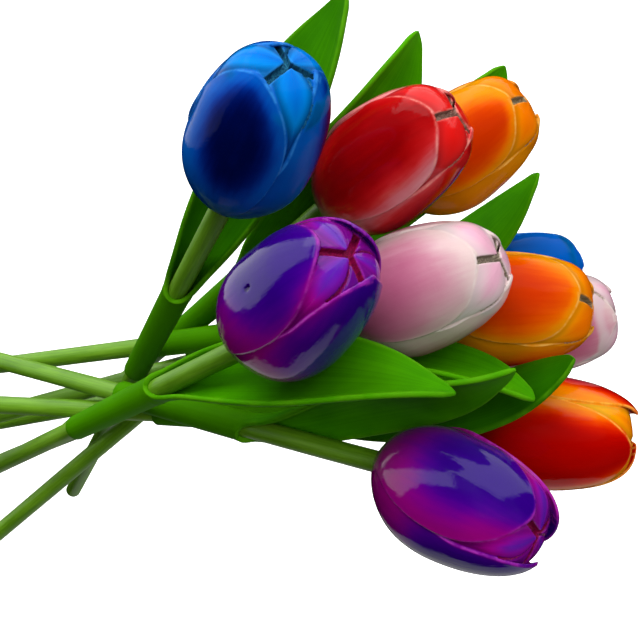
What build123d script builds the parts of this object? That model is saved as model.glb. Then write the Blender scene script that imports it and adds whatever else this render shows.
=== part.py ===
from build123d import *
import math
import os

os.makedirs("parts", exist_ok=True)

# ---------------------------------------------------------------- driving dimensions (mm)
HEAD_L = 64.0          # length of the turned head along its own axis
HEAD_D = 44.0          # largest diameter over the outer petals
PETAL_STEP = 1.9       # how far an outer petal stands proud of the inner petals
PETAL_TIP_Z = 59.0     # height of an outer petal's tip above the head's base
SLOT_W = 2.7           # width of the three-armed slot in the top
SLOT_DEPTH = 12.0
SLOT_REACH = 11.0      # length of each arm from the axis
STEM_D = 8.0           # wooden dowel
STEM_FREE = 276.0      # dowel length below the head's base
STEM_IN = 21.0         # dowel length glued in the head
BORE_CLEAR = 0.05      # radial clearance of the dowel in the head and in the leaf's tube
BORE_DEPTH = 22.0
TUBE_L = 68.0          # leaf: tube on the stem
TUBE_D_TOP = 11.8
TUBE_D_LOW = 10.6
BLADE_T = 1.8          # leaf: wall of the blade
TUBE_R_MID = 4.95      # leaf: radius where the blade leaves the tube's wall

# Row frame: origin at the grip where the stems cross, +Z along the bunch towards the heads.
# base   centre of the head's underside
# stem   direction of the dowel, upwards
# axis   direction of the head's own axis
# face   direction in which one outer petal looks
# side   direction in which the blade leaves the stem
# drop   distance from the head's base down to the tube's mouth
# flare  lean of the blade away from the stem at one third, two thirds and the tip (radians)
# sway   sideways lean of the blade at the middle and the tip (radians)
# twist  turn of the blade about its own midline at the tip (radians)
# blade  length of the blade from the mouth to the tip
TULIPS = {
    "blue": dict(base=(-51.2, -56.3, 131.8), stem=(-0.3508, -0.4028, 0.8454), axis=(-0.3949, -0.3989, 0.8276), face=(0.340, -0.900, -0.272),
        side=(-0.484, 0.851, 0.205), drop=62.1, flare=(0.473, 0.583, 0.627), sway=(0.042, 0.163), twist=-0.800, blade=128.0),
    "red": dict(base=(-40.4, -14.7, 144.1), stem=(-0.2060, -0.2880, 0.9352), axis=(-0.2060, -0.0779, 0.9754), face=(0.026, -0.997, -0.074),
        side=(-0.484, 0.861, 0.159), drop=63.0, flare=(0.289, 0.569, 0.800), sway=(0.124, 0.398), twist=0.800, blade=124.9),
    "orange": dict(base=(-40.0, 33.4, 151.6), stem=(-0.3329, 0.1307, 0.9339), axis=(-0.2782, 0.1331, 0.9513), face=(-0.244, -0.968, 0.064),
        side=(-0.527, 0.795, -0.299), drop=57.8, flare=(0.364, 0.383, 0.389), sway=(-0.112, 0.200), twist=0.172, blade=125.8),
    "purple": dict(base=(-1.3, -64.9, 128.1), stem=(-0.0854, -0.2639, 0.9608), axis=(-0.2530, -0.3147, 0.9148), face=(-0.400, -0.827, -0.395),
        side=(0.580, 0.771, 0.263), drop=61.0, flare=(0.210, 0.260, 0.754), sway=(-0.191, -0.200), twist=-0.800, blade=128.0),
    "pink": dict(base=(1.5, -18.6, 142.4), stem=(-0.0614, -0.1316, 0.9894), axis=(-0.0767, -0.0626, 0.9951), face=(-0.126, -0.989, -0.072),
        side=(0.989, 0.123, 0.078), drop=57.5, flare=(0.284, 0.398, 0.752), sway=(-0.027, -0.212), twist=-0.123, blade=124.9),
    "amber": dict(base=(7.7, 17.7, 155.4), stem=(0.1680, 0.1051, 0.9802), axis=(0.2781, 0.1716, 0.9451), face=(-0.353, -0.897, 0.267),
        side=(0.046, 0.992, -0.114), drop=63.0, flare=(0.565, 0.800, 0.800), sway=(0.349, -0.599), twist=0.109, blade=117.0),
    "rose": dict(base=(25.7, 59.9, 149.0), stem=(0.1194, 0.2160, 0.9691), axis=(0.1095, 0.2466, 0.9629), face=(0.959, 0.230, -0.168),
        side=(0.503, 0.828, -0.247), drop=62.9, flare=(0.506, 0.800, 0.800), sway=(0.000, 0.000), twist=0.000, blade=117.0),
    "navy": dict(base=(4.3, 100.0, 131.2), stem=(0.0483, 0.5435, 0.8380), axis=(0.1283, 0.5406, 0.8315), face=(0.946, 0.185, -0.266),
        side=(-0.322, -0.786, 0.528), drop=60.3, flare=(0.294, 0.448, 0.800), sway=(-0.255, -0.314), twist=-0.568, blade=119.2),
    "violet": dict(base=(52.2, -38.4, 146.8), stem=(0.3884, -0.1150, 0.9143), axis=(0.4951, -0.1875, 0.8484), face=(0.827, 0.400, -0.394),
        side=(-0.596, 0.725, 0.344), drop=62.4, flare=(0.289, 0.062, 0.663), sway=(0.342, 0.215), twist=0.431, blade=117.4),
    "scarlet": dict(base=(55.0, 11.9, 157.3), stem=(0.3124, 0.2059, 0.9274), axis=(0.3210, 0.1990, 0.9259), face=(0.402, -0.914, 0.057),
        side=(-0.861, -0.351, 0.368), drop=63.0, flare=(0.276, 0.433, 0.792), sway=(0.197, 0.196), twist=0.170, blade=117.1),
}

# ---------------------------------------------------------------- head
# outline of the turned head: share of the length, share of the largest radius
OUTLINE = [(0.0, 0.25), (0.04, 0.44), (0.09, 0.62), (0.18, 0.82), (0.29, 0.955), (0.40, 1.0), (0.52, 0.985),
           (0.65, 0.92), (0.78, 0.80), (0.88, 0.66), (0.95, 0.52), (1.0, 0.36)]


def outer_radius(z):
    for (a, ra), (b, rb) in zip(OUTLINE, OUTLINE[1:]):
        if z <= b * HEAD_L:
            k = (z / HEAD_L - a) / (b - a)
            return (ra + (rb - ra) * k) * HEAD_D / 2
    return OUTLINE[-1][1] * HEAD_D / 2


def turned(points):
    pts = [Vector(r, 0, z) for r, z in points]
    top = Vector(0, 0, points[-1][1])
    low = Vector(0, 0, points[0][1])
    ring = Wire([Edge.make_spline(pts), Edge.make_line(pts[-1], top), Edge.make_line(top, low), Edge.make_line(low, pts[0])])
    return revolve(Face(ring), axis=Axis.Z)


def head_blank():
    full = [(r * HEAD_D / 2, z * HEAD_L) for z, r in OUTLINE]
    core = []
    for z, r in OUTLINE:
        cut = PETAL_STEP * min(1.0, max(0.0, (z - 0.02) / 0.12)) * (1.0 - 0.35 * max(0.0, (z - 0.88) / 0.12))
        core.append((r * HEAD_D / 2 - cut, z * HEAD_L))
    body = turned(core)
    skin = turned(full)
    # half-width of an outer petal, as an angle about the head's axis
    lobe = [(1.2, 57.0), (8.0, 58.0), (20.0, 57.0), (32.0, 53.0), (42.0, 45.0), (50.0, 33.0), (55.5, 20.0)]
    right = [Vector(2, outer_radius(z) * math.sin(math.radians(a)), z) for z, a in lobe]
    left = [Vector(2, -v.Y, v.Z) for v in reversed(right)]
    tip = Vector(2, 0, PETAL_TIP_Z)
    ring = Wire([Edge.make_spline(right + [tip] + left), Edge.make_line(left[-1], right[0])])
    prism = extrude(Face(ring), amount=30, dir=(1, 0, 0))
    petal = skin & prism
    for k in range(3):
        body = body + Rot(0, 0, 120 * k) * petal
    for k in range(3):
        arm = Pos(SLOT_REACH / 2, 0, HEAD_L - SLOT_DEPTH / 2 + 1) * Box(SLOT_REACH, SLOT_W, SLOT_DEPTH + 2)
        body = body - Rot(0, 0, 120 * k) * arm
    return body


BLANK = head_blank()


def make_head(t):
    place = Plane(origin=t["base"], x_dir=t["face"], z_dir=t["axis"])
    bore_at = Plane(origin=t["base"], z_dir=t["stem"])
    bore = bore_at * (Pos(0, 0, (BORE_DEPTH - 6) / 2) * Cylinder(STEM_D / 2 + BORE_CLEAR, BORE_DEPTH + 6))
    return place * BLANK - bore


# ---------------------------------------------------------------- stem
def make_stem(t):
    at = Plane(origin=t["base"], z_dir=t["stem"])
    rod = Pos(0, 0, (STEM_IN - STEM_FREE) / 2) * Cylinder(STEM_D / 2, STEM_IN + STEM_FREE)
    rod = chamfer(rod.edges(), 0.5)
    return at * rod


# ---------------------------------------------------------------- leaf
# share of the blade's length: width along the curve (mm)
WIDTH = [(0.0, 19.5), (0.06, 21.0), (0.12, 23.0), (0.22, 27.0), (0.34, 31.0), (0.46, 34.0), (0.58, 35.0), (0.70, 32.5),
         (0.80, 27.5), (0.88, 20.5), (0.94, 13.0), (0.98, 7.5), (1.0, 4.0)]
# share of the blade's length: half of the angle that the hollow blade wraps (degrees)
WRAP = [(0.0, 112.0), (0.06, 100.0), (0.12, 90.0), (0.22, 72.0), (0.34, 56.0), (0.46, 45.0), (0.58, 37.0), (0.70, 31.0),
        (0.80, 27.0), (0.88, 23.0), (0.94, 19.0), (0.98, 16.0), (1.0, 14.0)]


def midline(t, steps=240):
    s = Vector(*t["stem"]).normalized()
    e = Vector(*t["side"])
    e = (e - s * e.dot(s)).normalized()
    side = s.cross(e)
    f1, f2, f3 = t["flare"]
    b1, b2 = t["sway"]
    out = []
    p = Vector(*t["base"]) - s * t["drop"] + e * TUBE_R_MID
    last = None
    for i in range(steps + 1):
        x = i / steps
        l1 = x * (x - 2 / 3) * (x - 1) / ((1 / 3) * (1 / 3 - 2 / 3) * (1 / 3 - 1))
        l2 = x * (x - 1 / 3) * (x - 1) / ((2 / 3) * (2 / 3 - 1 / 3) * (2 / 3 - 1))
        l3 = x * (x - 1 / 3) * (x - 2 / 3) / ((2 / 3) * (1 / 3))
        th = f1 * l1 + f2 * l2 + f3 * l3
        be = b1 * 4 * x * (1 - x) + b2 * x * (2 * x - 1)
        tan = s * (math.cos(th) * math.cos(be)) + e * (math.sin(th) * math.cos(be)) + side * math.sin(be)
        if last is not None:
            p = p + (tan + last) * (t["blade"] / steps / 2)
        nor = s * -math.sin(th) + e * math.cos(th)
        nor = (nor - tan * nor.dot(tan)).normalized()
        bi = tan.cross(nor)
        tw = t["twist"] * x ** 1.5
        n2 = nor * math.cos(tw) + bi * math.sin(tw)
        out.append((x, p, n2, tan.cross(n2)))
        last = tan
    return out


def section(p, nor, bi, width, wrap, wall):
    rho = width / (2 * wrap)
    c = p - nor * rho

    def at(r, a):
        return c + nor * (r * math.cos(a)) + bi * (r * math.sin(a))

    ri, ro = rho - wall / 2, rho + wall / 2
    return Wire([Edge.make_three_point_arc(at(ri, -wrap), at(ri, 0), at(ri, wrap)), Edge.make_line(at(ri, wrap), at(ro, wrap)),
                 Edge.make_three_point_arc(at(ro, wrap), at(ro, 0), at(ro, -wrap)), Edge.make_line(at(ro, -wrap), at(ri, -wrap))])


def make_leaf(t):
    s = Vector(*t["stem"]).normalized()
    line = midline(t)
    steps = len(line) - 1
    wires = []
    x, p, nor, bi = line[0]
    for back in (5.0, 2.0):
        wires.append(section(p - s * back, nor, bi, WIDTH[0][1], math.radians(WRAP[0][1]), 1.35))
    for (q, width), (_, wrap) in zip(WIDTH[1:], WRAP[1:]):
        x, p, nor, bi = line[round(q * steps)]
        wall = 1.45 if q < 0.1 else (1.6 if q < 0.2 else BLADE_T)
        wires.append(section(p, nor, bi, width, math.radians(wrap), wall))
    blade = Solid.make_loft(wires)
    mouth = Vector(*t["base"]) - s * t["drop"]
    at = Plane(origin=mouth, z_dir=s)
    tube = Pos(0, 0, -TUBE_L / 2) * Cone(TUBE_D_LOW / 2, TUBE_D_TOP / 2, TUBE_L)
    leaf = at * tube + blade
    hole = Pos(0, 0, -TUBE_L / 2) * Cylinder(STEM_D / 2 + BORE_CLEAR, TUBE_L + 2)
    return leaf - at * hole


for name, t in TULIPS.items():
    export_step(make_head(t), f"parts/{name}_head.step")
    export_step(make_stem(t), f"parts/{name}_stem.step")
    export_step(make_leaf(t), f"parts/{name}_leaf.step")
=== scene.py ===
import math

import bpy
import numpy as np
from mathutils import Matrix, Vector


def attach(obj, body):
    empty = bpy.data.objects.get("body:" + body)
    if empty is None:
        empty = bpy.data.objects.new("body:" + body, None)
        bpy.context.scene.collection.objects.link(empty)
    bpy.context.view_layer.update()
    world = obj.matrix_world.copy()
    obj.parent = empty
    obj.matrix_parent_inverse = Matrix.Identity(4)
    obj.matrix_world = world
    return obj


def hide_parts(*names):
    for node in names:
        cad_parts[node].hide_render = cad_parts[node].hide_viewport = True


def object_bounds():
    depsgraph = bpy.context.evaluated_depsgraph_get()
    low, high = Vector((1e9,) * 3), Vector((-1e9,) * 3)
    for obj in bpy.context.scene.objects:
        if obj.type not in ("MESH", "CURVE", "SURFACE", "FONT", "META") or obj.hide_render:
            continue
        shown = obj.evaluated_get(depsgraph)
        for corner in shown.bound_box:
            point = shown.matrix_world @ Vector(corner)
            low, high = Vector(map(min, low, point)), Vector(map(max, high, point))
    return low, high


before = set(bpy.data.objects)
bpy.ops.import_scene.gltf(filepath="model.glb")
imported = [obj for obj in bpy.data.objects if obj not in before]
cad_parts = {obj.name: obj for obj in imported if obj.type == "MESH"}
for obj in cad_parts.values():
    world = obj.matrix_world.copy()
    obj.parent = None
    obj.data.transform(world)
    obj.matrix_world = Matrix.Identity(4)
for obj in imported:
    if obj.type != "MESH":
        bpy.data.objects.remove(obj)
CAD_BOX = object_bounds()
MM = 0.001

# ---------------------------------------------------------------- the bunch (mm, row frame)
HEAD_L, HEAD_R = 64.0, 22.0
STEM_R, STEM_FREE, STEM_IN = 4.0, 276.0, 21.0
TUBE_L, TUBE_R_TOP, TUBE_R_LOW, TUBE_R_IN, TUBE_R_MID = 68.0, 5.9, 5.3, 4.05, 4.95

TULIPS = {
    "blue": dict(base=(-51.2, -56.3, 131.8), stem=(-0.3508, -0.4028, 0.8454), axis=(-0.3949, -0.3989, 0.8276), face=(0.340, -0.900, -0.272),
        side=(-0.484, 0.851, 0.205), drop=62.1, flare=(0.473, 0.583, 0.627), sway=(0.042, 0.163), twist=-0.800, blade=128.0),
    "red": dict(base=(-40.4, -14.7, 144.1), stem=(-0.2060, -0.2880, 0.9352), axis=(-0.2060, -0.0779, 0.9754), face=(0.026, -0.997, -0.074),
        side=(-0.484, 0.861, 0.159), drop=63.0, flare=(0.289, 0.569, 0.800), sway=(0.124, 0.398), twist=0.800, blade=124.9),
    "orange": dict(base=(-40.0, 33.4, 151.6), stem=(-0.3329, 0.1307, 0.9339), axis=(-0.2782, 0.1331, 0.9513), face=(-0.244, -0.968, 0.064),
        side=(-0.527, 0.795, -0.299), drop=57.8, flare=(0.364, 0.383, 0.389), sway=(-0.112, 0.200), twist=0.172, blade=125.8),
    "purple": dict(base=(-1.3, -64.9, 128.1), stem=(-0.0854, -0.2639, 0.9608), axis=(-0.2530, -0.3147, 0.9148), face=(-0.400, -0.827, -0.395),
        side=(0.580, 0.771, 0.263), drop=61.0, flare=(0.210, 0.260, 0.754), sway=(-0.191, -0.200), twist=-0.800, blade=128.0),
    "pink": dict(base=(1.5, -18.6, 142.4), stem=(-0.0614, -0.1316, 0.9894), axis=(-0.0767, -0.0626, 0.9951), face=(-0.126, -0.989, -0.072),
        side=(0.989, 0.123, 0.078), drop=57.5, flare=(0.284, 0.398, 0.752), sway=(-0.027, -0.212), twist=-0.123, blade=124.9),
    "amber": dict(base=(7.7, 17.7, 155.4), stem=(0.1680, 0.1051, 0.9802), axis=(0.2781, 0.1716, 0.9451), face=(-0.353, -0.897, 0.267),
        side=(0.046, 0.992, -0.114), drop=63.0, flare=(0.565, 0.800, 0.800), sway=(0.349, -0.599), twist=0.109, blade=117.0),
    "rose": dict(base=(25.7, 59.9, 149.0), stem=(0.1194, 0.2160, 0.9691), axis=(0.1095, 0.2466, 0.9629), face=(0.959, 0.230, -0.168),
        side=(0.503, 0.828, -0.247), drop=62.9, flare=(0.506, 0.800, 0.800), sway=(0.000, 0.000), twist=0.000, blade=117.0),
    "navy": dict(base=(4.3, 100.0, 131.2), stem=(0.0483, 0.5435, 0.8380), axis=(0.1283, 0.5406, 0.8315), face=(0.946, 0.185, -0.266),
        side=(-0.322, -0.786, 0.528), drop=60.3, flare=(0.294, 0.448, 0.800), sway=(-0.255, -0.314), twist=-0.568, blade=119.2),
    "violet": dict(base=(52.2, -38.4, 146.8), stem=(0.3884, -0.1150, 0.9143), axis=(0.4951, -0.1875, 0.8484), face=(0.827, 0.400, -0.394),
        side=(-0.596, 0.725, 0.344), drop=62.4, flare=(0.289, 0.062, 0.663), sway=(0.342, 0.215), twist=0.431, blade=117.4),
    "scarlet": dict(base=(55.0, 11.9, 157.3), stem=(0.3124, 0.2059, 0.9274), axis=(0.3210, 0.1990, 0.9259), face=(0.402, -0.914, 0.057),
        side=(-0.861, -0.351, 0.368), drop=63.0, flare=(0.276, 0.433, 0.792), sway=(0.197, 0.196), twist=0.170, blade=117.1),
}
SLOT_OF = {"blue": "paint_blue", "navy": "paint_blue", "red": "paint_red", "orange": "paint_orange", "amber": "paint_orange",
           "purple": "paint_violet", "violet": "paint_violet", "pink": "paint_pink", "rose": "paint_pink", "scarlet": "paint_scarlet"}


# ---------------------------------------------------------------- small helpers
def smooth(a, b, x):
    t = np.clip((x - a) / (b - a), 0.0, 1.0)
    return t * t * (3 - 2 * t)


def smin(a, b, k):
    h = np.maximum(k - np.abs(a - b), 0.0) / k
    return np.minimum(a, b) - h * h * k * 0.25


def smax(a, b, k):
    return -smin(-a, -b, k)


def unit(v):
    v = np.asarray(v, float)
    return v / np.linalg.norm(v)


def spline(points, n):
    """A smooth curve through the points (natural cubic, by chord length), n samples."""
    p = np.asarray(points, float)
    t = np.concatenate([[0], np.cumsum(np.linalg.norm(np.diff(p, axis=0), axis=1))])
    m = len(p)
    h = np.diff(t)
    a = np.zeros((m, m))
    rhs = np.zeros_like(p)
    a[0, 0] = a[-1, -1] = 1
    for i in range(1, m - 1):
        a[i, i - 1], a[i, i], a[i, i + 1] = h[i - 1], 2 * (h[i - 1] + h[i]), h[i]
        rhs[i] = 6 * ((p[i + 1] - p[i]) / h[i] - (p[i] - p[i - 1]) / h[i - 1])
    k = np.linalg.solve(a, rhs)
    s = np.linspace(0, t[-1], n)
    i = np.clip(np.searchsorted(t, s, side="right") - 1, 0, m - 2)
    d = (s - t[i])[:, None]
    hi = h[i][:, None]
    return (p[i] + d * ((p[i + 1] - p[i]) / hi - hi * (2 * k[i] + k[i + 1]) / 6) + d * d * k[i] / 2 + d ** 3 * (k[i + 1] - k[i]) / (6 * hi))


def waves(points, seed, size, n=14):
    """Smooth random field, about -1 to 1, with features of roughly that size."""
    rng = np.random.default_rng(seed)
    out = np.zeros(len(points))
    for _ in range(n):
        k = unit(rng.normal(size=3)) * (2 * math.pi / size) * rng.uniform(0.6, 1.5)
        out += np.sin(points @ k + rng.uniform(0, 6.283))
    return out / math.sqrt(n)


class Table:
    """A function of two variables kept on a grid, read back with smooth interpolation."""

    def __init__(self, lo, step, values):
        self.lo, self.step, self.v = lo, step, values

    def __call__(self, x, y, fine=False):
        nx, ny = self.v.shape
        a = np.clip((x - self.lo[0]) / self.step, 1.0, nx - 2.001)
        b = np.clip((y - self.lo[1]) / self.step, 1.0, ny - 2.001)
        i, j = a.astype(np.int32), b.astype(np.int32)
        s, t = a - i, b - j
        v = self.v
        if not fine:
            return (v[i, j] * (1 - s) + v[i + 1, j] * s) * (1 - t) + (v[i, j + 1] * (1 - s) + v[i + 1, j + 1] * s) * t

        def weights(u):
            return (-0.5 * u + u * u - 0.5 * u ** 3, 1 - 2.5 * u * u + 1.5 * u ** 3, 0.5 * u + 2 * u * u - 1.5 * u ** 3, -0.5 * u * u + 0.5 * u ** 3)

        ws, wt = weights(s), weights(t)
        out = 0.0
        for m in range(4):
            for n in range(4):
                out = out + ws[m] * wt[n] * v[i + m - 1, j + n - 1]
        return out


def line_distance(px, py, line):
    """Distance from each point to a polyline."""
    a, b = line[:-1], line[1:]
    d = b - a
    dd = np.maximum((d * d).sum(1), 1e-12)
    out = np.empty(len(px))
    for s in range(0, len(px), 4000):
        qx, qy = px[s:s + 4000, None] - a[None, :, 0], py[s:s + 4000, None] - a[None, :, 1]
        t = np.clip((qx * d[:, 0] + qy * d[:, 1]) / dd, 0, 1)
        out[s:s + 4000] = np.sqrt(((qx - t * d[:, 0]) ** 2 + (qy - t * d[:, 1]) ** 2).min(1))
    return out


def profile_table(line):
    """Signed distance to a turned shape with this outline (r, z), rising in z."""
    step, lo = 0.5, (-2.0, -8.0)
    r = lo[0] + step * np.arange(66)
    z = lo[1] + step * np.arange(166)
    rr, zz = (g.ravel() for g in np.meshgrid(r, z, indexing="ij"))
    both = np.vstack([np.column_stack([-line[::-1, 0], line[::-1, 1]]), line])
    d = line_distance(rr, zz, both)
    order = np.argsort(line[:, 1], kind="stable")
    inside = (np.abs(rr) < np.interp(zz, line[order, 1], line[order, 0], left=-1, right=-1))
    return Table(lo, step, np.where(inside, -d, d).reshape(len(r), len(z)))


# ---------------------------------------------------------------- the carved head
OUTER_LINE = spline([(0, 0.0), (2.6, 0.02), (5.4, 0.3), (9.68, 2.56), (13.64, 5.76), (18.04, 11.52), (21.0, 18.56), (22.0, 25.6), (21.67, 33.28),
                     (20.5, 41.6), (18.8, 48.5), (16.5, 54.2), (14.1, 58.3), (11.7, 61.2), (9.0, 63.3), (5.0, 65.1), (0, 65.8)], 420)
CORE_LINE = spline([(0, 1.6), (3.5, 1.7), (8.2, 3.6), (12.0, 6.8), (16.2, 12.4), (19.1, 19.2), (20.2, 26.0), (20.3, 33.4),
                    (19.5, 41.2), (17.9, 48.3), (16.0, 53.3), (13.9, 56.8), (11.1, 59.3), (7.5, 60.7), (3.6, 61.3), (0, 61.5)], 420)
OUTER, CORE = profile_table(OUTER_LINE), profile_table(CORE_LINE)
ARC = np.concatenate([[0], np.cumsum(np.linalg.norm(np.diff(OUTER_LINE, axis=0), axis=1))])


def arc_of(z):
    return np.interp(z, OUTER_LINE[:, 1], ARC) + np.minimum(z - OUTER_LINE[0, 1], 0)


def radius_of(z):
    return np.interp(z, OUTER_LINE[:, 1], OUTER_LINE[:, 0])


# edge of an outer petal: height, angle either side of its middle; the right-hand edge lies over the next petal, the left-hand one under the one before
FOOT_R = [(-3, 20), (2, 25), (8, 32), (14, 39), (20, 44.5), (26, 49), (32, 52.5), (38, 54.5), (43, 54.5)]
FOOT_L = [(43, -61.5), (38, -65), (33, -69), (27, -74.5), (20, -82), (12, -90), (4, -97), (-3, -100)]
# the first petal has a round top; the other two come to a point right of the middle
ROUND = FOOT_R + [(47.5, 52.5), (51.3, 49), (54.3, 44.5), (56.7, 38), (58.6, 29.5), (60.0, 19.5), (60.9, 8), (61.3, -4), (61.2, -16), (60.4, -27), (58.8, -37),
                  (56.5, -44.5), (53.7, -50.5), (50.8, -54.5), (47.5, -58)] + FOOT_L
POINT_R = FOOT_R + [(47.5, 53), (51.5, 50), (54.8, 45.5), (57.6, 39), (59.8, 32), (61.5, 25.5), (62.7, 20)]
POINT_L = [(63.0, 17), (63.1, 6), (62.9, -7), (62.5, -20), (61.7, -31), (60.5, -40), (58.5, -47.5), (55.8, -53), (52.5, -56.8), (48, -59.8)] + FOOT_L


def ring_of(*runs):
    out = []
    for run in runs:
        flat = [(math.radians(a) * max(radius_of(max(z, 6.0)), 4.0), float(arc_of(z))) for z, a in run]
        out.append(spline(flat, 300))
    out = np.vstack(out)
    return np.vstack([out, out[:1]])


def outline_table(ring):
    step, lo = 0.5, (-40.0, -10.0)
    u = lo[0] + step * np.arange(161)
    v = lo[1] + step * np.arange(220)
    uu, vv = (g.ravel() for g in np.meshgrid(u, v, indexing="ij"))
    d = line_distance(uu, vv, ring)
    inside = np.zeros(len(uu), bool)
    for (x0, y0), (x1, y1) in zip(ring[:-1], ring[1:]):
        cross = ((y0 > vv) != (y1 > vv))
        if abs(y1 - y0) > 1e-12:
            inside ^= cross & (uu < (x1 - x0) * (vv - y0) / (y1 - y0) + x0)
    return Table(lo, step, np.where(inside, -d, d).reshape(len(u), len(v)))


POINTED = outline_table(ring_of(POINT_R, POINT_L))
OUTLINE = (outline_table(ring_of(ROUND)), POINTED, POINTED)


def head_field(p, stand, cut, fine=False, parts=False):
    """Signed distance of the carved head in its own frame: z along the axis, a petal's middle along x.
    The pointed tips stand out by so much (mm) from the turned outline, or lie close to the dome.
    The round petal is cut lower by so much (mm)."""
    x, y, z = p[:, 0], p[:, 1], p[:, 2]
    r = np.hypot(x, y)
    phi = np.degrees(np.arctan2(y, x))
    out = OUTER(r, z, fine)
    core = CORE(r, z, fine)
    height = arc_of(z)
    across = np.maximum(radius_of(np.maximum(z, 6.0)), 4.0)
    low = 1 - smooth(30, 44, z)
    flush = stand < 0
    short = (1.3 if flush else 0.0) * smooth(48, 61, z)
    petals, edges, slot = [], [], None
    if flush:                               # a fuller dome
        core = core - 0.9 * smooth(42, 56, z)
    hollow, crack = np.zeros_like(z), np.full_like(z, 9.0)
    for k in range(3):
        a = (phi - 120 * k + 180) % 360 - 180
        edge = OUTLINE[k](np.radians(a) * across, height + (short if k else cut * smooth(45, 58, z)), fine)
        tuck = 0.95 * smooth(-30, -66, a) * low * smooth(3, 17, z)
        lift = (-0.7 + (0.4 if flush else 0.0) if k == 0 else stand) * smooth(47, 61, z)
        # a petal is a little fuller along its middle and carries a low bead along its rim
        skin = out + tuck - lift + 0.13 * smooth(-6, 0, edge) * smooth(8, 24, z) * (1 - 0.8 * smooth(-1.2, -0.2, edge))
        # near its top a petal is a shell: a pointed one stands clear of the dome, the round one lies on it
        wall = 0.85 + 1.0 * smooth(0, -4.0, edge) + 24.0 * (1 - smooth(49, 56, z))
        body = smax(smax(skin, edge, 0.65), -skin - wall, 0.35)
        petals.append(body)
        edges.append(edge)
        # behind each tip, and down its tucked side, the petal stands a hair clear of the inner ones
        hollow = hollow + smooth(44, 24, np.abs(a)) * smooth(50, 60, z)
        if k:
            side_of = smooth(-6, -18, a) * smooth(44, 51, z)
            crack = np.minimum(crack, np.abs(edge + 0.45) - (0.52 if flush else 0.6) * side_of + 0.6 * (1 - side_of))
        c, s = math.cos(math.radians(120 * k)), math.sin(math.radians(120 * k))
        along, side = x * c + y * s, -x * s + y * c
        arm = np.maximum(np.maximum(np.abs(side) - 1.3, along - 10.4 - (0.0 if k else cut)), np.maximum(-along - 1.3, 50.0 - z))
        slot = arm if slot is None else np.minimum(slot, arm)
    # inner petals: a low crown between the grooves
    mid = (phi % 120) - 60
    core = core + 0.12 * hollow - 0.16 * smooth(46, 0, np.abs(mid)) * smooth(36, 48, z)
    dome = core
    core = smax(core, -np.maximum(crack, -(dome + (2.2 if flush else 1.6))), 0.25)
    slot = np.maximum(slot, -(dome + 2.8))
    core = smax(core, -slot, 0.22)
    f = petals[0]
    for b in petals[1:]:
        f = smin(f, b, 0.3)
    f = smin(f, core, 0.3)
    if parts:
        return f, petals, edges, slot, dome, out
    return f


def surface(field, lo, hi, h):
    """Closed quad mesh of the zero level of a field."""
    n = [int(math.ceil((b - a) / h)) + 1 for a, b in zip(lo, hi)]
    g = np.stack(np.meshgrid(*[a + h * np.arange(m) for a, m in zip(lo, n)], indexing="ij"), -1).reshape(-1, 3)
    f = np.empty(len(g))
    for s in range(0, len(g), 400000):
        f[s:s + 400000] = field(g[s:s + 400000])
    f = f.reshape(n)
    inside = f < 0
    count = np.zeros([m - 1 for m in n], np.int8)
    corners = [(a, b, c) for a in (0, 1) for b in (0, 1) for c in (0, 1)]
    for a, b, c in corners:
        count += inside[a:n[0] - 1 + a, b:n[1] - 1 + b, c:n[2] - 1 + c]
    active = (count > 0) & (count < 8)
    cell = np.argwhere(active)
    index = np.full(active.shape, -1, np.int64)
    index[active] = np.arange(len(cell))
    total, hits = np.zeros((len(cell), 3)), np.zeros(len(cell))
    for p in corners:
        for ax in range(3):
            if p[ax]:
                continue
            q = list(p)
            q[ax] = 1
            fa = f[tuple((cell + p).T)]
            fb = f[tuple((cell + q).T)]
            m = (fa < 0) != (fb < 0)
            t = fa[m] / (fa[m] - fb[m])
            at = np.tile(np.array(p, float), (m.sum(), 1))
            at[:, ax] = t
            total[m] += at
            hits[m] += 1
    verts = np.array(lo) + h * (cell + total / hits[:, None])
    faces = []
    for ax in range(3):
        b, c = (ax + 1) % 3, (ax + 2) % 3
        lo_side = [slice(None)] * 3
        hi_side = [slice(None)] * 3
        lo_side[ax], hi_side[ax] = slice(0, -1), slice(1, None)
        change = inside[tuple(lo_side)] != inside[tuple(hi_side)]
        e = np.argwhere(change)
        e = e[(e[:, b] > 0) & (e[:, c] > 0) & (e[:, b] < n[b] - 1) & (e[:, c] < n[c] - 1)]
        quad = []
        for db, dc in ((0, 0), (-1, 0), (-1, -1), (0, -1)):
            i = e.copy()
            i[:, b] += db
            i[:, c] += dc
            quad.append(index[tuple(i.T)])
        quad = np.stack(quad, 1)
        start_in = inside[tuple(e.T)]
        quad[start_in] = quad[start_in][:, ::-1]
        faces.append(quad[:, ::-1])
    return verts, np.vstack(faces)


def gradient(field, p, e=0.05):
    g = np.empty_like(p)
    for ax in range(3):
        d = np.zeros(3)
        d[ax] = e
        g[:, ax] = (field(p + d) - field(p - d)) / (2 * e)
    return g


HEAD_STEP = 0.42


def relax(v, faces, rounds, field):
    """Evens out the quads without moving them off the surface."""
    n = len(v)
    for _ in range(rounds):
        total, hits = np.zeros((n, 3)), np.zeros(n)
        for a in range(4):
            i, j = faces[:, a], faces[:, (a + 1) % 4]
            np.add.at(total, i, v[j])
            np.add.at(hits, i, 1)
            np.add.at(total, j, v[i])
            np.add.at(hits, j, 1)
        m = total / hits[:, None] - v
        g = gradient(field, v)
        g /= np.maximum(np.linalg.norm(g, axis=1), 1e-6)[:, None]
        v = v + 0.5 * (m - (m * g).sum(1)[:, None] * g)
        f = field(v)
        v = v - np.clip(f, -0.2, 0.2)[:, None] * g
    return v


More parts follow.
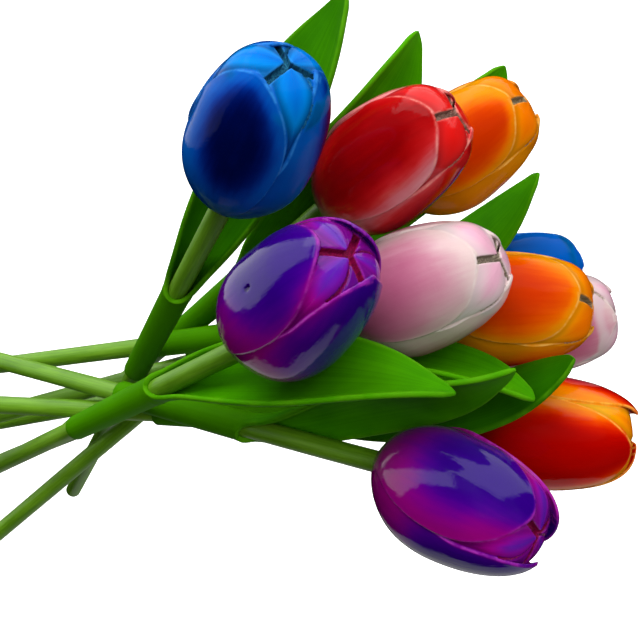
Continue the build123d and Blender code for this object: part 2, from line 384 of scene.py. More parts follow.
class Carving:
    """One carved head: its mesh, and where each point of it lies, for the paint."""

    def __init__(self, stand, cut):
        def field(p):
            return head_field(p, stand, cut, fine=True)

        v, self.faces = surface(lambda p: head_field(p, stand, cut), (-24.5, -24.5, -1.5), (24.5, 24.5, 65.5), HEAD_STEP)
        for _ in range(3):
            g = gradient(field, v)
            step = field(v) / np.maximum((g * g).sum(1), 0.25)
            v = v - np.clip(step, -0.25, 0.25)[:, None] * g
        v = self.v = relax(v, self.faces, 3, field)
        _, petals, edges, self.slot, self.dome, _ = head_field(v, stand, cut, fine=True, parts=True)
        p3, e3 = np.stack(petals, 1), np.stack(edges, 1)
        self.r = np.hypot(v[:, 0], v[:, 1])
        phi = np.degrees(np.arctan2(v[:, 1], v[:, 0]))
        rel = np.stack([(phi - 120 * k + 180) % 360 - 180 for k in range(3)], 1)
        on = p3.argmin(1)                                   # the petal nearest to the surface here
        rows = np.arange(len(v))
        self.petal, self.edge, self.angle = on, e3[rows, on], rel[rows, on]
        on_petal = smooth(0.55, 0.25, p3[rows, on])
        under = (self.dome < -0.45) & (p3.min(1) > -0.2) & (v[:, 2] > 38) & (self.edge > -1.2)      # in the crack behind a petal's tip
        in_slot = smooth(0.5, 0.2, np.abs(self.slot)) * smooth(-0.25, -0.5, self.dome) * (v[:, 2] > 54)
        self.raw = np.maximum(in_slot, under.astype(float) * 0.8)
        self.inner = np.where(under, 1.0, 1 - on_petal)
        self.gap = np.clip(e3.min(1), -6, 12)


CARVINGS = {kind: Carving(*kind) for kind in ((0.3, 0.0), (-0.75, 0.0), (-0.75, 1.6), (-0.75, 3.0))}


# ---------------------------------------------------------------- meshes
def make_mesh(name, verts_mm, faces, attrs=None, smooth_shade=True):
    mesh = bpy.data.meshes.new(name)
    v = np.asarray(verts_mm, np.float64) * MM
    loops = np.concatenate([np.asarray(f, np.int32) for f in faces]) if isinstance(faces, list) else faces.astype(np.int32).ravel()
    sizes = np.array([len(f) for f in faces], np.int32) if isinstance(faces, list) else np.full(len(faces), faces.shape[1], np.int32)
    mesh.vertices.add(len(v))
    mesh.vertices.foreach_set("co", v.astype(np.float32).ravel())
    mesh.loops.add(len(loops))
    mesh.loops.foreach_set("vertex_index", loops)
    mesh.polygons.add(len(sizes))
    mesh.polygons.foreach_set("loop_start", np.concatenate([[0], np.cumsum(sizes)[:-1]]).astype(np.int32))
    mesh.polygons.foreach_set("loop_total", sizes)
    mesh.update(calc_edges=True)
    mesh.validate()
    if smooth_shade:
        mesh.polygons.foreach_set("use_smooth", np.ones(len(mesh.polygons), bool))
    for key, val in (attrs or {}).items():
        val = np.asarray(val, np.float32)
        if val.ndim == 2:
            mesh.attributes.new(key, "FLOAT_VECTOR", "POINT").data.foreach_set("vector", val.ravel())
        else:
            mesh.attributes.new(key, "FLOAT", "POINT").data.foreach_set("value", val)
    obj = bpy.data.objects.new(name, mesh)
    bpy.context.scene.collection.objects.link(obj)
    return obj


# ---------------------------------------------------------------- materials
def lin(rgb):
    return tuple((c / 255 / 12.92 if c / 255 <= 0.04045 else ((c / 255 + 0.055) / 1.055) ** 2.4) for c in rgb) + (1.0,)


class Nodes:
    def __init__(self, name):
        self.mat = bpy.data.materials.new(name)
        self.mat.use_nodes = True
        self.t = self.mat.node_tree
        self.t.nodes.clear()
        self.out = self.t.nodes.new("ShaderNodeOutputMaterial")
        self.bsdf = self.t.nodes.new("ShaderNodeBsdfPrincipled")
        self.t.links.new(self.bsdf.outputs[0], self.out.inputs[0])

    def put(self, socket, value):
        if isinstance(value, bpy.types.NodeSocket):
            self.t.links.new(value, socket)
        else:
            socket.default_value = value

    def attr(self, name, vector=False):
        n = self.t.nodes.new("ShaderNodeAttribute")
        n.attribute_name = name
        return n.outputs["Vector" if vector else "Fac"]

    def coord(self):
        return self.t.nodes.new("ShaderNodeTexCoord").outputs["Object"]

    def math(self, op, a, b=0.0, c=0.0, clamp=False):
        n = self.t.nodes.new("ShaderNodeMath")
        n.operation = op
        n.use_clamp = clamp
        for s, v in zip(n.inputs, (a, b, c)):
            self.put(s, v)
        return n.outputs[0]

    def vmath(self, op, a, b):
        n = self.t.nodes.new("ShaderNodeVectorMath")
        n.operation = op
        self.put(n.inputs[0], a)
        self.put(n.inputs[1], b)
        return n.outputs[0]

    def noise(self, vec, scale, detail=2.0, rough=0.5, distort=0.0):
        n = self.t.nodes.new("ShaderNodeTexNoise")
        n.inputs["Scale"].default_value = scale
        n.inputs["Detail"].default_value = detail
        n.inputs["Roughness"].default_value = rough
        n.inputs["Distortion"].default_value = distort
        self.put(n.inputs["Vector"], vec)
        return n.outputs["Fac"]

    def span(self, v, a, b, lo=0.0, hi=1.0, curve="SMOOTHSTEP"):
        n = self.t.nodes.new("ShaderNodeMapRange")
        n.interpolation_type = curve
        for s, x in zip(("Value", "From Min", "From Max", "To Min", "To Max"), (v, a, b, lo, hi)):
            self.put(n.inputs[s], x)
        return n.outputs[0]

    def ramp(self, v, stops):
        n = self.t.nodes.new("ShaderNodeValToRGB")
        n.color_ramp.interpolation = "B_SPLINE" if len(stops) > 2 else "EASE"
        while len(n.color_ramp.elements) < len(stops):
            n.color_ramp.elements.new(0.5)
        for e, (pos, col) in zip(n.color_ramp.elements, stops):
            e.position = pos
            e.color = lin(col)
        self.put(n.inputs[0], v)
        return n.outputs[0]

    def mix(self, fac, a, b, mode="MIX"):
        n = self.t.nodes.new("ShaderNodeMix")
        n.data_type = "RGBA"
        n.blend_type = mode
        n.clamp_factor = True
        self.put(n.inputs[0], fac)
        self.put(n.inputs[6], a)
        self.put(n.inputs[7], b)
        return n.outputs[2]

    def bump(self, height, distance, strength=1.0, normal=None):
        n = self.t.nodes.new("ShaderNodeBump")
        n.inputs["Strength"].default_value = strength
        n.inputs["Distance"].default_value = distance
        self.put(n.inputs["Height"], height)
        if normal is not None:
            self.put(n.inputs["Normal"], normal)
        return n.outputs[0]


# spray paint of each colour: ramp over the petal from its margin to its middle, ramp over the inner petals, rim line,
# bare parts in the slot, and how strong the painted shade in the creases is
PAINT = {
    "paint_blue": dict(petal=[(0.0, (4, 86, 174)), (0.35, (2, 54, 148)), (0.65, (1, 18, 96)), (1.0, (0, 4, 48))],
                       inner=[(0.0, (2, 66, 158)), (0.5, (0, 132, 208)), (1.0, (2, 92, 188))], rim=(48, 132, 206), bare=((40, 112, 140), (16, 56, 92)), ior=1.11, shade_strength=0.85),
    "paint_red": dict(petal=[(0.0, (208, 138, 146)), (0.28, (200, 62, 68)), (0.5, (194, 8, 8)), (1.0, (108, 0, 4))],
                      inner=[(0.0, (182, 34, 40)), (0.5, (204, 30, 30)), (1.0, (212, 20, 16))], rim=(228, 150, 136), bare=((168, 134, 118), (112, 76, 66)), ior=1.33, shade_strength=0.4),
    "paint_orange": dict(petal=[(0.0, (204, 134, 8)), (0.35, (216, 106, 0)), (0.65, (202, 66, 0)), (1.0, (178, 38, 0))],
                         inner=[(0.0, (210, 142, 10)), (0.5, (222, 128, 2)), (1.0, (226, 104, 0))], rim=(216, 170, 84), bare=((178, 160, 128), (116, 98, 70)), ior=1.16, shade_strength=0.4),
    "paint_violet": dict(petal=[(0.0, (140, 4, 106)), (0.35, (104, 0, 120)), (0.65, (58, 0, 126)), (1.0, (34, 0, 106))],
                         inner=[(0.0, (84, 0, 92)), (0.4, (172, 2, 136)), (0.7, (106, 14, 150)), (1.0, (80, 26, 158))], rim=(160, 40, 160), bare=((154, 0, 74), (100, 0, 50)), ior=1.42, shade_strength=0.55),
    "paint_pink": dict(petal=[(0.0, (206, 184, 180)), (0.22, (202, 168, 172)), (0.5, (190, 122, 144)), (1.0, (172, 80, 118))],
                       inner=[(0.0, (198, 190, 186)), (0.6, (208, 180, 186)), (1.0, (218, 158, 182))], rim=(212, 200, 196), bare=((172, 160, 140), (118, 104, 90)), ior=1.35, shade_strength=0.1),
    "paint_scarlet": dict(petal=[(0.0, (226, 132, 0)), (0.25, (222, 70, 0)), (0.55, (200, 14, 0)), (1.0, (152, 0, 0))],
                          inner=[(0.0, (222, 166, 6)), (0.5, (228, 146, 4)), (1.0, (226, 104, 0))], rim=(236, 180, 70), bare=((142, 110, 60), (92, 66, 32)), ior=1.26, shade_strength=0.4),
}


def paint(slot_name):
    c = PAINT[slot_name]
    n = Nodes(slot_name)
    at = n.coord()
    puv = n.attr("puv", True)
    streak = n.noise(n.vmath("MULTIPLY", puv, (1.0, 0.12, 1.0)), 0.55, 3.0, 0.55)      # long brush marks on a petal
    cloud = n.noise(at, 95.0, 3.0, 0.5)
    fine = n.noise(at, 420.0, 4.0, 0.6)
    wob = n.math("ADD", n.math("MULTIPLY", n.math("SUBTRACT", streak, 0.5), 0.26), n.math("MULTIPLY", n.math("SUBTRACT", cloud, 0.5), 0.22))
    col = n.ramp(n.math("ADD", n.attr("spray"), wob), c["petal"])
    inn = n.ramp(n.math("ADD", n.attr("ispray"), wob), c["inner"])
    col = n.mix(n.attr("inner"), col, inn)
    # painted shade darkens the inner petals in the narrow gaps beside the outer petals and in the knot's dent; the
    # paint rubs thin along the rims
    col = n.mix(n.math("MULTIPLY", n.attr("crease_shade"), c["shade_strength"]), col, n.mix(1.0, col, (0.30, 0.30, 0.34, 1), "MULTIPLY"))
    worn = n.math("MULTIPLY", n.attr("rim"), n.span(n.noise(at, 260.0, 3.0, 0.6), 0.34, 0.62, 0.12, 0.75))
    col = n.mix(worn, col, lin(c["rim"]))
    grain = n.noise(n.vmath("MULTIPLY", n.attr("loc", True), (1.0, 1.0, 0.16)), 1.5, 4.0, 0.65)
    wood = n.mix(n.span(grain, 0.36, 0.66), lin(c["bare"][1]), lin(c["bare"][0]))
    col = n.mix(n.attr("raw"), col, wood)
    n.put(n.bsdf.inputs["Base Color"], col)
    rough = n.math("ADD", n.math("MULTIPLY", fine, 0.09), 0.045)
    rough = n.math("ADD", rough, n.math("MULTIPLY", worn, 0.14))
    rough = n.math("MAXIMUM", rough, n.math("MULTIPLY", n.attr("raw"), 0.62))
    n.put(n.bsdf.inputs["Roughness"], rough)
    n.bsdf.inputs["IOR"].default_value = c["ior"]
    peel = n.math("ADD", n.noise(at, 260.0, 2.0, 0.55, 0.6), n.math("MULTIPLY", streak, 1.2))
    nor = n.bump(peel, 0.00007)
    nor = n.bump(fine, 0.000012, 1.0, nor)
    nor = n.bump(n.math("MULTIPLY", grain, n.attr("raw")), 0.00035, 0.8, nor)
    n.put(n.bsdf.inputs["Normal"], nor)
    return n.mat


def leaf_material():
    n = Nodes("leaf_green")
    at = n.coord()
    blade = n.attr("blade", True)            # across, along, side
    veins = n.noise(n.vmath("MULTIPLY", blade, (15.0, 0.9, 1.0)), 1.0, 3.0, 0.55)
    cloud = n.noise(at, 38.0, 3.0, 0.5)
    fine = n.noise(at, 620.0, 2.0, 0.5)
    col = n.ramp(n.math("ADD", n.math("MULTIPLY", veins, 0.38), n.math("MULTIPLY", cloud, 0.62)),
                 [(0.25, (37, 103, 0)), (0.5, (55, 133, 0)), (0.75, (75, 158, 0))])
    col = n.mix(n.attr("leaf_painted_shade"), col, n.mix(1.0, col, (0.42, 0.50, 0.25, 1), "MULTIPLY"))     # painted shade: some leaves coloured darker, standing in for leaves turned away from the light
    col = n.mix(n.math("MULTIPLY", n.attr("tube"), 0.7), col, lin((62, 122, 0)))
    # painted highlight: a lighter green along the leaf's edges, where light catches them
    col = n.mix(n.math("MULTIPLY", n.attr("rim"), n.span(n.noise(at, 120.0, 2.0), 0.3, 0.7, 0.15, 0.6)), col, lin((84, 148, 14)))
    n.put(n.bsdf.inputs["Base Color"], col)
    n.put(n.bsdf.inputs["Roughness"], n.math("ADD", n.math("MULTIPLY", fine, 0.12), 0.44))
    n.bsdf.inputs["IOR"].default_value = 1.07
    nor = n.bump(veins, 0.00012, 0.6)
    nor = n.bump(fine, 0.00002, 1.0, nor)
    n.put(n.bsdf.inputs["Normal"], nor)
    return n.mat


def stem_material():
    n = Nodes("stem_green")
    loc = n.attr("loc", True)
    at = n.coord()
    grain = n.noise(n.vmath("MULTIPLY", loc, (1.0, 1.0, 0.03)), 1.6, 4.0, 0.6)
    cloud = n.noise(n.vmath("MULTIPLY", loc, (1.0, 1.0, 0.25)), 0.16, 2.0, 0.5)
    fine = n.noise(at, 700.0, 2.0)
    col = n.ramp(n.math("ADD", n.math("MULTIPLY", grain, 0.55), n.math("MULTIPLY", cloud, 0.45)),
                 [(0.28, (62, 106, 8)), (0.5, (90, 138, 19)), (0.74, (116, 164, 38))])
    end = n.mix(n.span(n.noise(n.vmath("MULTIPLY", loc, (1.0, 1.0, 0.2)), 2.2, 3.0), 0.35, 0.65), lin((150, 112, 70)), lin((206, 172, 120)))
    col = n.mix(n.attr("cut"), col, end)
    n.put(n.bsdf.inputs["Base Color"], col)
    n.put(n.bsdf.inputs["Roughness"], n.math("ADD", n.math("MULTIPLY", grain, 0.2), 0.36))
    nor = n.bump(grain, 0.00012, 0.8)
    nor = n.bump(fine, 0.00002, 1.0, nor)
    n.put(n.bsdf.inputs["Normal"], nor)
    return n.mat


PAINTS = {s: paint(s) for s in PAINT}
LEAF_MAT, STEM_MAT = leaf_material(), stem_material()

# how the spray lies on a petal: height of its middle, reach down, reach up, half-width and offset in degrees, softness, margin left clear (mm), how clear
SPRAY = {
    "blue": (45, 33, 21, 44, 9, 0.7, 2.2, 0.6), "navy": (45, 26, 21, 36, 40, 0.9, 2.2, 0.6), "red": (36, 36, 52, 70, -14, 0.75, 0.6, 0.3),
    "orange": (45, 38, 26, 48, 14, 0.8, 2.4, 0.6), "amber": (34, 36, 28, 62, 0, 0.8, 2.0, 0.55), "purple": (47, 40, 50, 72, -6, 0.7, 0.7, 0.35),
    "violet": (48, 42, 48, 62, -22, 0.75, 0.6, 0.3), "pink": (30, 46, 30, 76, 4, 0.85, 1.2, 0.4), "rose": (36, 46, 34, 60, 10, 0.85, 0.8, 0.25),
    "scarlet": (38, 60, 58, 53, -8, 0.62, 0.6, 0.35),
}
PITS = {"purple": (21.03, 2.09, 37.7)}          # a knot in the wood: a small dent, darkened with painted shade
ROLL = {"violet": -157.0, "scarlet": -8.0, "orange": 14.0, "rose": 24.0}
# how far the pointed tips stand out, and how much lower the round petal is cut; on the others the tips lie close and nothing is cut
KIND = {"purple": (0.3, 0.0), "violet": (0.3, 0.0), "scarlet": (0.3, 0.0),
        "red": (-0.75, 1.6), "orange": (-0.75, 3.0), "pink": (-0.75, 1.6), "amber": (-0.75, 3.0)}


def head(name, t, seed):
    z = unit(t["axis"])
    x = np.asarray(t["face"], float)
    x = unit(x - z * (x @ z))
    y = np.cross(z, x)
    turn = math.radians(ROLL.get(name, 0.0))
    x, y = x * math.cos(turn) + y * math.sin(turn), y * math.cos(turn) - x * math.sin(turn)
    h = CARVINGS[KIND.get(name, (-0.75, 0.0))]
    # hand work: each head is a little uneven
    bend = np.stack([waves(h.v, seed * 7 + i, 60.0) for i in range(3)], 1) * 0.28
    ripple = waves(h.v, seed * 7 + 5, 17.0) * 0.05
    radial = np.column_stack([h.v[:, 0], h.v[:, 1], np.zeros(len(h.v))]) / np.maximum(h.r, 4.0)[:, None]
    v = h.v + bend + radial * ripple[:, None]
    pit = np.zeros(len(v))
    if name in PITS:
        pit = np.exp(-((h.v - np.array(PITS[name])) ** 2 * (1.0, 1.0, 0.5)).sum(1) / 0.9)
        v = v - radial * (0.6 * pit)[:, None]
    world = np.asarray(t["base"]) + v[:, :1] * x + v[:, 1:2] * y + v[:, 2:3] * z
    zc, down, up, wide, off, soft, clear, keep = SPRAY[name]
    drift = waves(h.v, seed * 7 + 6, 38.0)
    high = h.v[:, 2]
    dz = high - zc
    far = np.sqrt(((h.angle - off) / wide) ** 2 + (dz / np.where(dz > 0, up, down)) ** 2) + 0.10 * drift
    spray = smooth(1.15, 1.15 - 1.15 * soft - 0.1, far) * (1 - keep * smooth(-clear * 2.2, -clear * 0.2, h.edge))
    ispray = smooth(47, 60, high) * 0.6 + 0.4 * smooth(1.0, 5.5, h.gap) + 0.08 * drift
    rim = np.exp(-((h.edge + 0.2) / 0.3) ** 2) * smooth(3, 10, high) * (1 - h.inner * 0.6)
    lip = np.exp(-((np.abs(h.slot) - 0.1) / 0.3) ** 2) * smooth(-0.8, -0.2, h.dome) * smooth(54, 56, high)
    # painted shade: inner petals darker in the narrow gaps between petals, and in the knot's dent
    crease_shade = h.inner * smooth(2.6, 0.2, h.gap) * smooth(20, 32, high) * (1 - h.raw)
    attrs = {"spray": spray, "ispray": np.clip(ispray, 0, 1), "inner": h.inner, "rim": np.clip(np.maximum(rim, 0.8 * lip), 0, 1),
             "crease_shade": np.clip(crease_shade + 1.6 * smooth(0.12, 0.5, pit), 0, 1.6), "raw": h.raw,
             "puv": np.column_stack([np.radians(h.angle) * 18 + seed * 31.0, high, np.full(len(v), seed * 3.0)]), "loc": h.v + seed * 50.0}
    o = make_mesh(name + "_bloom", world, h.faces, attrs)
    o.data.materials.append(PAINTS[SLOT_OF[name]])
    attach(o, name + "_tulip")
    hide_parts(name + "_head")
    return o


# ---------------------------------------------------------------- stems
def stem(name, t, seed):
    s = unit(t["stem"])
    a = unit(np.cross(s, [0.3, 0.9, 0.1]))
    b = np.cross(s, a)
    n = 40
    along = [(-STEM_FREE, 0.0), (-STEM_FREE, 2.4), (-STEM_FREE, 3.3), (-STEM_FREE + 0.15, 3.7), (-STEM_FREE + 0.5, 4.0)]
    along += [(h, 4.0) for h in np.linspace(-STEM_FREE + 1.5, STEM_IN - 1.0, 96)] + [(STEM_IN - 0.5, 4.0), (STEM_IN, 3.5), (STEM_IN, 0.0)]
    rng = np.random.default_rng(seed + 900)
    ph = rng.uniform(0, 6.28, 4)
    ang = np.arange(n) * 2 * math.pi / n
    verts, loc, cut, faces = [], [], [], []
    rings = []
    for h, r in along:
        if r == 0:
            rings.append([len(verts)])
            verts.append(np.asarray(t["base"]) + s * h)
            loc.append((seed * 40.0, seed * 40.0, h))
            cut.append(1.0)
            continue
        rr = r - 0.035 * (1 + np.sin(3 * ang + ph[0] + 0.03 * h)) * (r > 3.9) - 0.02 * (1 + math.sin(0.11 * h + ph[1])) * (r > 3.9)
        rings.append(list(range(len(verts), len(verts) + n)))
        for k in range(n):
            d = a * math.cos(ang[k]) + b * math.sin(ang[k])
            verts.append(np.asarray(t["base"]) + s * h + d * rr[k])
            loc.append((rr[k] * math.cos(ang[k]) + seed * 40.0, rr[k] * math.sin(ang[k]) + seed * 40.0, h))
            cut.append(1.0 if r < 3.6 else 0.0)
    for p, q in zip(rings, rings[1:]):
        for k in range(n):
            k2 = (k + 1) % n
            if len(p) == 1:
                faces.append([p[0], q[k2], q[k]])
            elif len(q) == 1:
                faces.append([p[k], p[k2], q[0]])
            else:
                faces.append([p[k], p[k2], q[k2], q[k]])
    o = make_mesh(name + "_rod", np.array(verts), faces, {"loc": np.array(loc), "cut": np.array(cut)})
    o.data.materials.append(STEM_MAT)
    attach(o, name + "_tulip")
    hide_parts(name + "_stem")
    return o


# ---------------------------------------------------------------- leaves
WIDTH = np.array([(0.0, 19.5), (0.06, 21.0), (0.12, 23.0), (0.22, 27.0), (0.34, 31.0), (0.46, 34.0), (0.58, 35.0), (0.70, 32.5),
                  (0.80, 27.5), (0.88, 20.5), (0.94, 13.0), (0.98, 7.5), (1.0, 4.0)])
WRAP = np.array([(0.0, 112.0), (0.06, 100.0), (0.12, 90.0), (0.22, 72.0), (0.34, 56.0), (0.46, 45.0), (0.58, 37.0), (0.70, 31.0),
                 (0.80, 27.0), (0.88, 23.0), (0.94, 19.0), (0.98, 16.0), (1.0, 14.0)])
_w = spline(WIDTH * (128, 1), 600)
_a = spline(WRAP * (128, 1), 600)


def width_at(x):
    return np.interp(x * 128, _w[:, 0], _w[:, 1])


def wrap_at(x):
    return np.interp(x * 128, _a[:, 0], _a[:, 1])


def midline(t, steps=240):
    s = unit(t["stem"])
    e = np.asarray(t["side"], float)
    e = unit(e - s * (e @ s))
    side = np.cross(s, e)
    f1, f2, f3 = t["flare"]
    b1, b2 = t["sway"]
    p = np.asarray(t["base"], float) - s * t["drop"] + e * TUBE_R_MID
    out, last = [], None
    for i in range(steps + 1):
        x = i / steps
        l1 = x * (x - 2 / 3) * (x - 1) / ((1 / 3) * (1 / 3 - 2 / 3) * (1 / 3 - 1))
        l2 = x * (x - 1 / 3) * (x - 1) / ((2 / 3) * (2 / 3 - 1 / 3) * (2 / 3 - 1))
        l3 = x * (x - 1 / 3) * (x - 2 / 3) / ((2 / 3) * (1 / 3))
        th = f1 * l1 + f2 * l2 + f3 * l3
        be = b1 * 4 * x * (1 - x) + b2 * x * (2 * x - 1)
        tan = s * (math.cos(th) * math.cos(be)) + e * (math.sin(th) * math.cos(be)) + side * math.sin(be)
        if last is not None:
            p = p + (tan + last) * (t["blade"] / steps / 2)
        nor = s * -math.sin(th) + e * math.cos(th)
        nor = unit(nor - tan * (nor @ tan))
        bi = np.cross(tan, nor)
        tw = t["twist"] * x ** 1.5
        n2 = nor * math.cos(tw) + bi * math.sin(tw)
        out.append(np.concatenate([p, n2, np.cross(tan, n2)]))
        last = tan
    return np.array(out)


SPREAD = {"red": (1.10, 0.78)}                # blade opened out along its lower half: width, wrap
SPAN = {"amber": 0.78}                        # share of the path that the blade takes up
LEAF_SHADE = {"blue": 0.8, "orange": 0.2, "navy": 0.5, "amber": 0.5, "scarlet": 1.0}       # painted shade: how much darker each leaf is coloured, for leaves turned away from the light


def leaf(name, t, seed):
    wide, flat = SPREAD.get(name, (1.0, 1.0))
    span = SPAN.get(name, 1.0)
    s = unit(t["stem"])
    line = midline(t)
    grid = np.linspace(0, 1, len(line))

    def frame_at(x):
        row = np.array([np.interp(x, grid, line[:, c]) for c in range(9)])
        return row[:3], unit(row[3:6]), unit(row[6:9])

    m = 44                                   # steps across
    cap = 4                                  # points round an edge, between its outer and inner side
    p0, n0, b0 = frame_at(0.0)
    mouth = np.asarray(t["base"], float) - s * t["drop"]
    stations = []                            # centre, normal, binormal, inner radius, outer radius, half-angle, along, closed
    for d in (TUBE_L, TUBE_L - 0.12, TUBE_L - 0.4, TUBE_L - 0.9, *np.linspace(TUBE_L - 3, 4.0, 18), 2.6, 1.6, 0.9, 0.45, 0.15, 0.0):
        ro = TUBE_R_TOP + (TUBE_R_LOW - TUBE_R_TOP) * d / TUBE_L
        back = TUBE_L - d
        ro -= 0.45 * (1 - smooth(0, 0.9, np.float64(back)))
        ro += 0.22 * (1 - smooth(0.4, 2.6, np.float64(d)))
        stations.append((mouth - s * d, n0, b0, TUBE_R_IN, float(ro), math.pi, -d / t["blade"], True))
    xs = np.concatenate([np.array([0.25, 0.7, 1.2, 1.8, 2.5, 3.3, 4.2, 5.2, 6.4, 7.8]) / 128, np.linspace(9.2, 122.0, 96) / 128, (128 - np.array([5.2, 4.2, 3.2, 2.4, 1.7, 1.1, 0.65, 0.3, 0.1])) / 128])
    for x in xs:
        p, n, b = frame_at(x * span)
        bell = float(smooth(0.04, 0.16, np.float64(x)) * (1 - smooth(0.45, 0.8, np.float64(x))))
        w, a = width_at(x) * (1 + (wide - 1) * bell), math.radians(wrap_at(x)) * (1 + (flat - 1) * bell)
        rho = w / (2 * a)
        wall = 1.8 - 0.15 * math.exp(-x / 0.05)
        tip = math.sqrt(max(0.0, 1 - max(0.0, (x - 0.962) / 0.038) ** 2))
        wall *= 0.35 + 0.65 * tip
        # the sheath opens from a full ring at its mouth
        half = a + (math.pi - math.radians(112)) * math.exp(-(x * 128) / 2.1) * 0.93
        half = half * max(tip, 0.06) - 0.5 * wall / rho * 0.8
        k = smooth(0.0, 0.06, np.float64(x))
        ri, ro = rho - wall / 2, rho + wall / 2
        ri = TUBE_R_IN * (1 - k) + ri * k if x < 0.06 else ri
        ro = (TUBE_R_TOP + 0.22) * (1 - k) + ro * k if x < 0.06 else ro
        c = p - n * rho
        if x < 0.06:
            c = (mouth + s * (x * span * t["blade"])) * (1 - k) + c * k
        stations.append((c, n, b, float(ri), float(ro), half, x, False))
    verts, attr, rim, tube, rings = [], [], [], [], []

    def add(p, ac, al, inn, rm, tb):
        verts.append(p)
        attr.append((ac, al, inn))
        rim.append(rm)
        tube.append(tb)
        return len(verts) - 1

    for c, n, b, ri, ro, half, x, closed in stations:
        count = m if closed else m + 1
        outer, inner = [], []
        tb = float(1 - smooth(0.0, 0.10, np.float64(x)))
        for j in range(count):
            f = -1 + 2 * j / m
            ang = f * half
            bead = 0.0 if closed else 0.16 * max(0.0, (abs(f) - 0.86) / 0.14) ** 2 * min(1.0, (ro - ri) / 1.8)
            d = n * math.cos(ang) + b * math.sin(ang)
            near = 0.0 if closed else max(0.0, (abs(f) - 0.93) / 0.07)
            outer.append(add(c + d * (ro + bead), f, x, 0.0, near, tb))
            inner.append(add(c + d * (ri - bead * 0.5), f, x, 1.0, near, tb))
        caps = []
        for sign, j in ((-1, 0), (1, count - 1 if not closed else 0)):
            if closed and sign == 1:
                caps.append(caps[0])
                continue
            ang = sign * half
            d = n * math.cos(ang) + b * math.sin(ang)
            tang = (-n * math.sin(ang) + b * math.cos(ang)) * sign
            mid, hw = (ri + ro) / 2, (ro - ri) / 2
            row = []
            for q in range(1, cap + 1):
                th = math.pi * q / (cap + 1)
                bulge = 0.0 if closed else hw * math.sin(th) * 0.9
                row.append(add(c + d * (mid + hw * math.cos(th)) + tang * bulge, float(sign), x, th / math.pi, 1.0 if not closed else 0.0, tb))
            caps.append(row)
        rings.append((outer, inner, caps, closed))
    faces = []
    for (o1, i1, c1, k1), (o2, i2, c2, k2) in zip(rings, rings[1:]):
        for j in range(m):
            j1 = (j + 1) % m if k1 else j + 1
            j2 = (j + 1) % m if k2 else j + 1
            faces.append([o1[j], o1[j1], o2[j2], o2[j]])
            faces.append([i1[j1], i1[j], i2[j], i2[j2]])
        if not k2:
            left1 = [o1[0], *c1[0], i1[0]]
            left2 = [o2[0], *c2[0], i2[0]]
            right1 = [o1[0 if k1 else m], *c1[1], i1[0 if k1 else m]]
            right2 = [o2[m], *c2[1], i2[m]]
            for q in range(cap + 1):
                faces.append([left1[q + 1], left1[q], left2[q], left2[q + 1]])
                faces.append([right1[q], right1[q + 1], right2[q + 1], right2[q]])
    # the tube's lower end, and the tip
    o1, i1, _, _ = rings[0]
    for j in range(m):
        faces.append([o1[(j + 1) % m], o1[j], i1[j], i1[(j + 1) % m]])
    o2, i2, c2, _ = rings[-1]
    for j in range(m):
        faces.append([o2[j], o2[j + 1], i2[j + 1], i2[j]])
    faces.append([o2[0], i2[0], *reversed(c2[0])])
    faces.append([i2[m], o2[m], *c2[1]])
    verts = np.array(verts)
    used = np.zeros(len(verts), bool)
    used[np.concatenate([np.array(f) for f in faces])] = True
    new = np.cumsum(used) - 1
    faces = [[int(new[i]) for i in f] for f in faces]
    verts, attr, rim, tube = verts[used], np.array(attr)[used], np.array(rim)[used], np.array(tube)[used]
    attr = attr + np.array([seed * 3.1, seed * 7.7, 0.0])
    o = make_mesh(name + "_foliage", verts, faces, {"blade": attr, "rim": rim, "tube": tube, "leaf_painted_shade": np.full(len(verts), LEAF_SHADE.get(name, 0.0))})
    o.data.materials.append(LEAF_MAT)
    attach(o, name + "_leaf")
    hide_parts(name + "_leaf")
    return o


for number, (tulip, data) in enumerate(TULIPS.items()):
    head(tulip, data, number + 1)
    stem(tulip, data, number + 1)
    leaf(tulip, data, number + 1)

# ---------------------------------------------------------------- camera
RIGHT_V = Vector((0.31041, 0.4903, 0.81441))
DOWN_V = Vector((0.9506, -0.1601, -0.26593))
AHEAD_V = Vector((0.0, 0.85673, -0.51577))
cam_data = bpy.data.cameras.new("camera")
cam_data.sensor_width = 36.0
cam_data.lens = 56.25
cam_data.clip_start = 0.01
cam = bpy.data.objects.new("camera", cam_data)
bpy.context.scene.collection.objects.link(cam)
m3 = Matrix((RIGHT_V, -DOWN_V, -AHEAD_V)).transposed()
cam.matrix_world = Matrix.Translation(Vector((-1.74, -338.13, 321.32)) * MM) @ m3.to_4x4()
bpy.context.scene.camera = cam

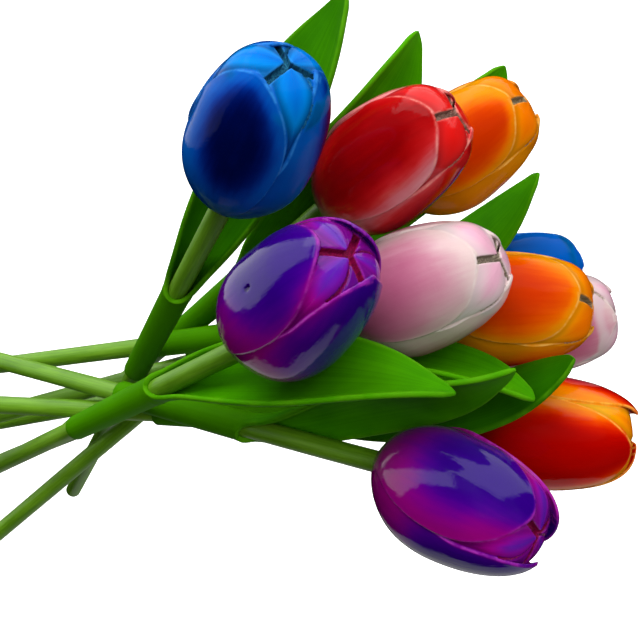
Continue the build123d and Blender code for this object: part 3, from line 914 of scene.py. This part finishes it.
# ---------------------------------------------------------------- floor and light
floor_z = CAD_BOX[0].z - 0.001
floor_mesh = bpy.data.meshes.new("floor")
size = 60.0
floor_mesh.from_pydata([(-size, -size, floor_z), (size, -size, floor_z), (size, size, floor_z), (-size, size, floor_z)], [], [(0, 1, 2, 3)])
floor = bpy.data.objects.new("floor", floor_mesh)
bpy.context.scene.collection.objects.link(floor)
fm = Nodes("floor_white")
fm.put(fm.bsdf.inputs["Base Color"], fm.mix(fm.noise(fm.coord(), 3.0, 2.0), (0.80, 0.80, 0.80, 1), (0.83, 0.83, 0.83, 1)))
fm.bsdf.inputs["Roughness"].default_value = 0.9
fm.bsdf.inputs["Emission Color"].default_value = (1, 1, 1, 1)
fm.bsdf.inputs["Emission Strength"].default_value = 0.96
floor_mesh.materials.append(fm.mat)
floor.visible_glossy = False
floor.visible_diffuse = False

TARGET = Vector((0.0, 0.0, 0.15))


def softbox(name, direction, distance, w, h, power, gloss=True, fill=True):
    """A rectangular soft light; direction is given as right, down, ahead of the camera."""
    d = (RIGHT_V * direction[0] + DOWN_V * direction[1] + AHEAD_V * direction[2]).normalized()
    light = bpy.data.lights.new(name, "AREA")
    light.shape = "RECTANGLE"
    light.size, light.size_y = w, h
    light.energy = power
    o = bpy.data.objects.new(name, light)
    bpy.context.scene.collection.objects.link(o)
    o.location = TARGET + d * distance
    o.rotation_mode = "QUATERNION"
    o.rotation_quaternion = (-d).to_track_quat("-Z", "Y")
    o.visible_glossy, o.visible_diffuse = gloss, fill
    return o


softbox("key", (-0.45, -0.82, -0.35), 1.25, 1.4, 1.2, 22.0, gloss=False)
softbox("sky", (0.08, -0.40, -0.91), 1.8, 2.2, 2.2, 47.0, gloss=False)
window = softbox("window", (-0.80, -0.60, 0.08), 1.25, 2.0, 2.0, 17.0, fill=False)
softbox("top", (0.20, -0.95, -0.14), 1.35, 2.2, 2.0, 18.0, fill=False)
softbox("bounce", (0.0, 0.80, 0.55), 1.4, 1.2, 1.8, 3.7)
softbox("rear", (0.82, -0.27, 0.47), 1.7, 2.0, 2.0, 20.0, gloss=False)
softbox("side", (0.65, 0.73, -0.12), 1.7, 2.0, 2.0, 9.0, gloss=False)
# the window light leaves out the red head
screened = bpy.data.collections.new("screened")
screened.objects.link(bpy.data.objects["red_bloom"])
window.light_linking.receiver_collection = screened
screened.collection_objects[0].light_linking.link_state = "EXCLUDE"

world = bpy.data.worlds.new("studio")
bpy.context.scene.world = world
world.use_nodes = True
bg = world.node_tree.nodes["Background"]
bg.inputs[0].default_value = (1, 1, 1, 1)
bg.inputs[1].default_value = 0.95
world.cycles_visibility.glossy = False
world.cycles_visibility.diffuse = False
bpy.context.scene.view_settings.view_transform = "Standard"
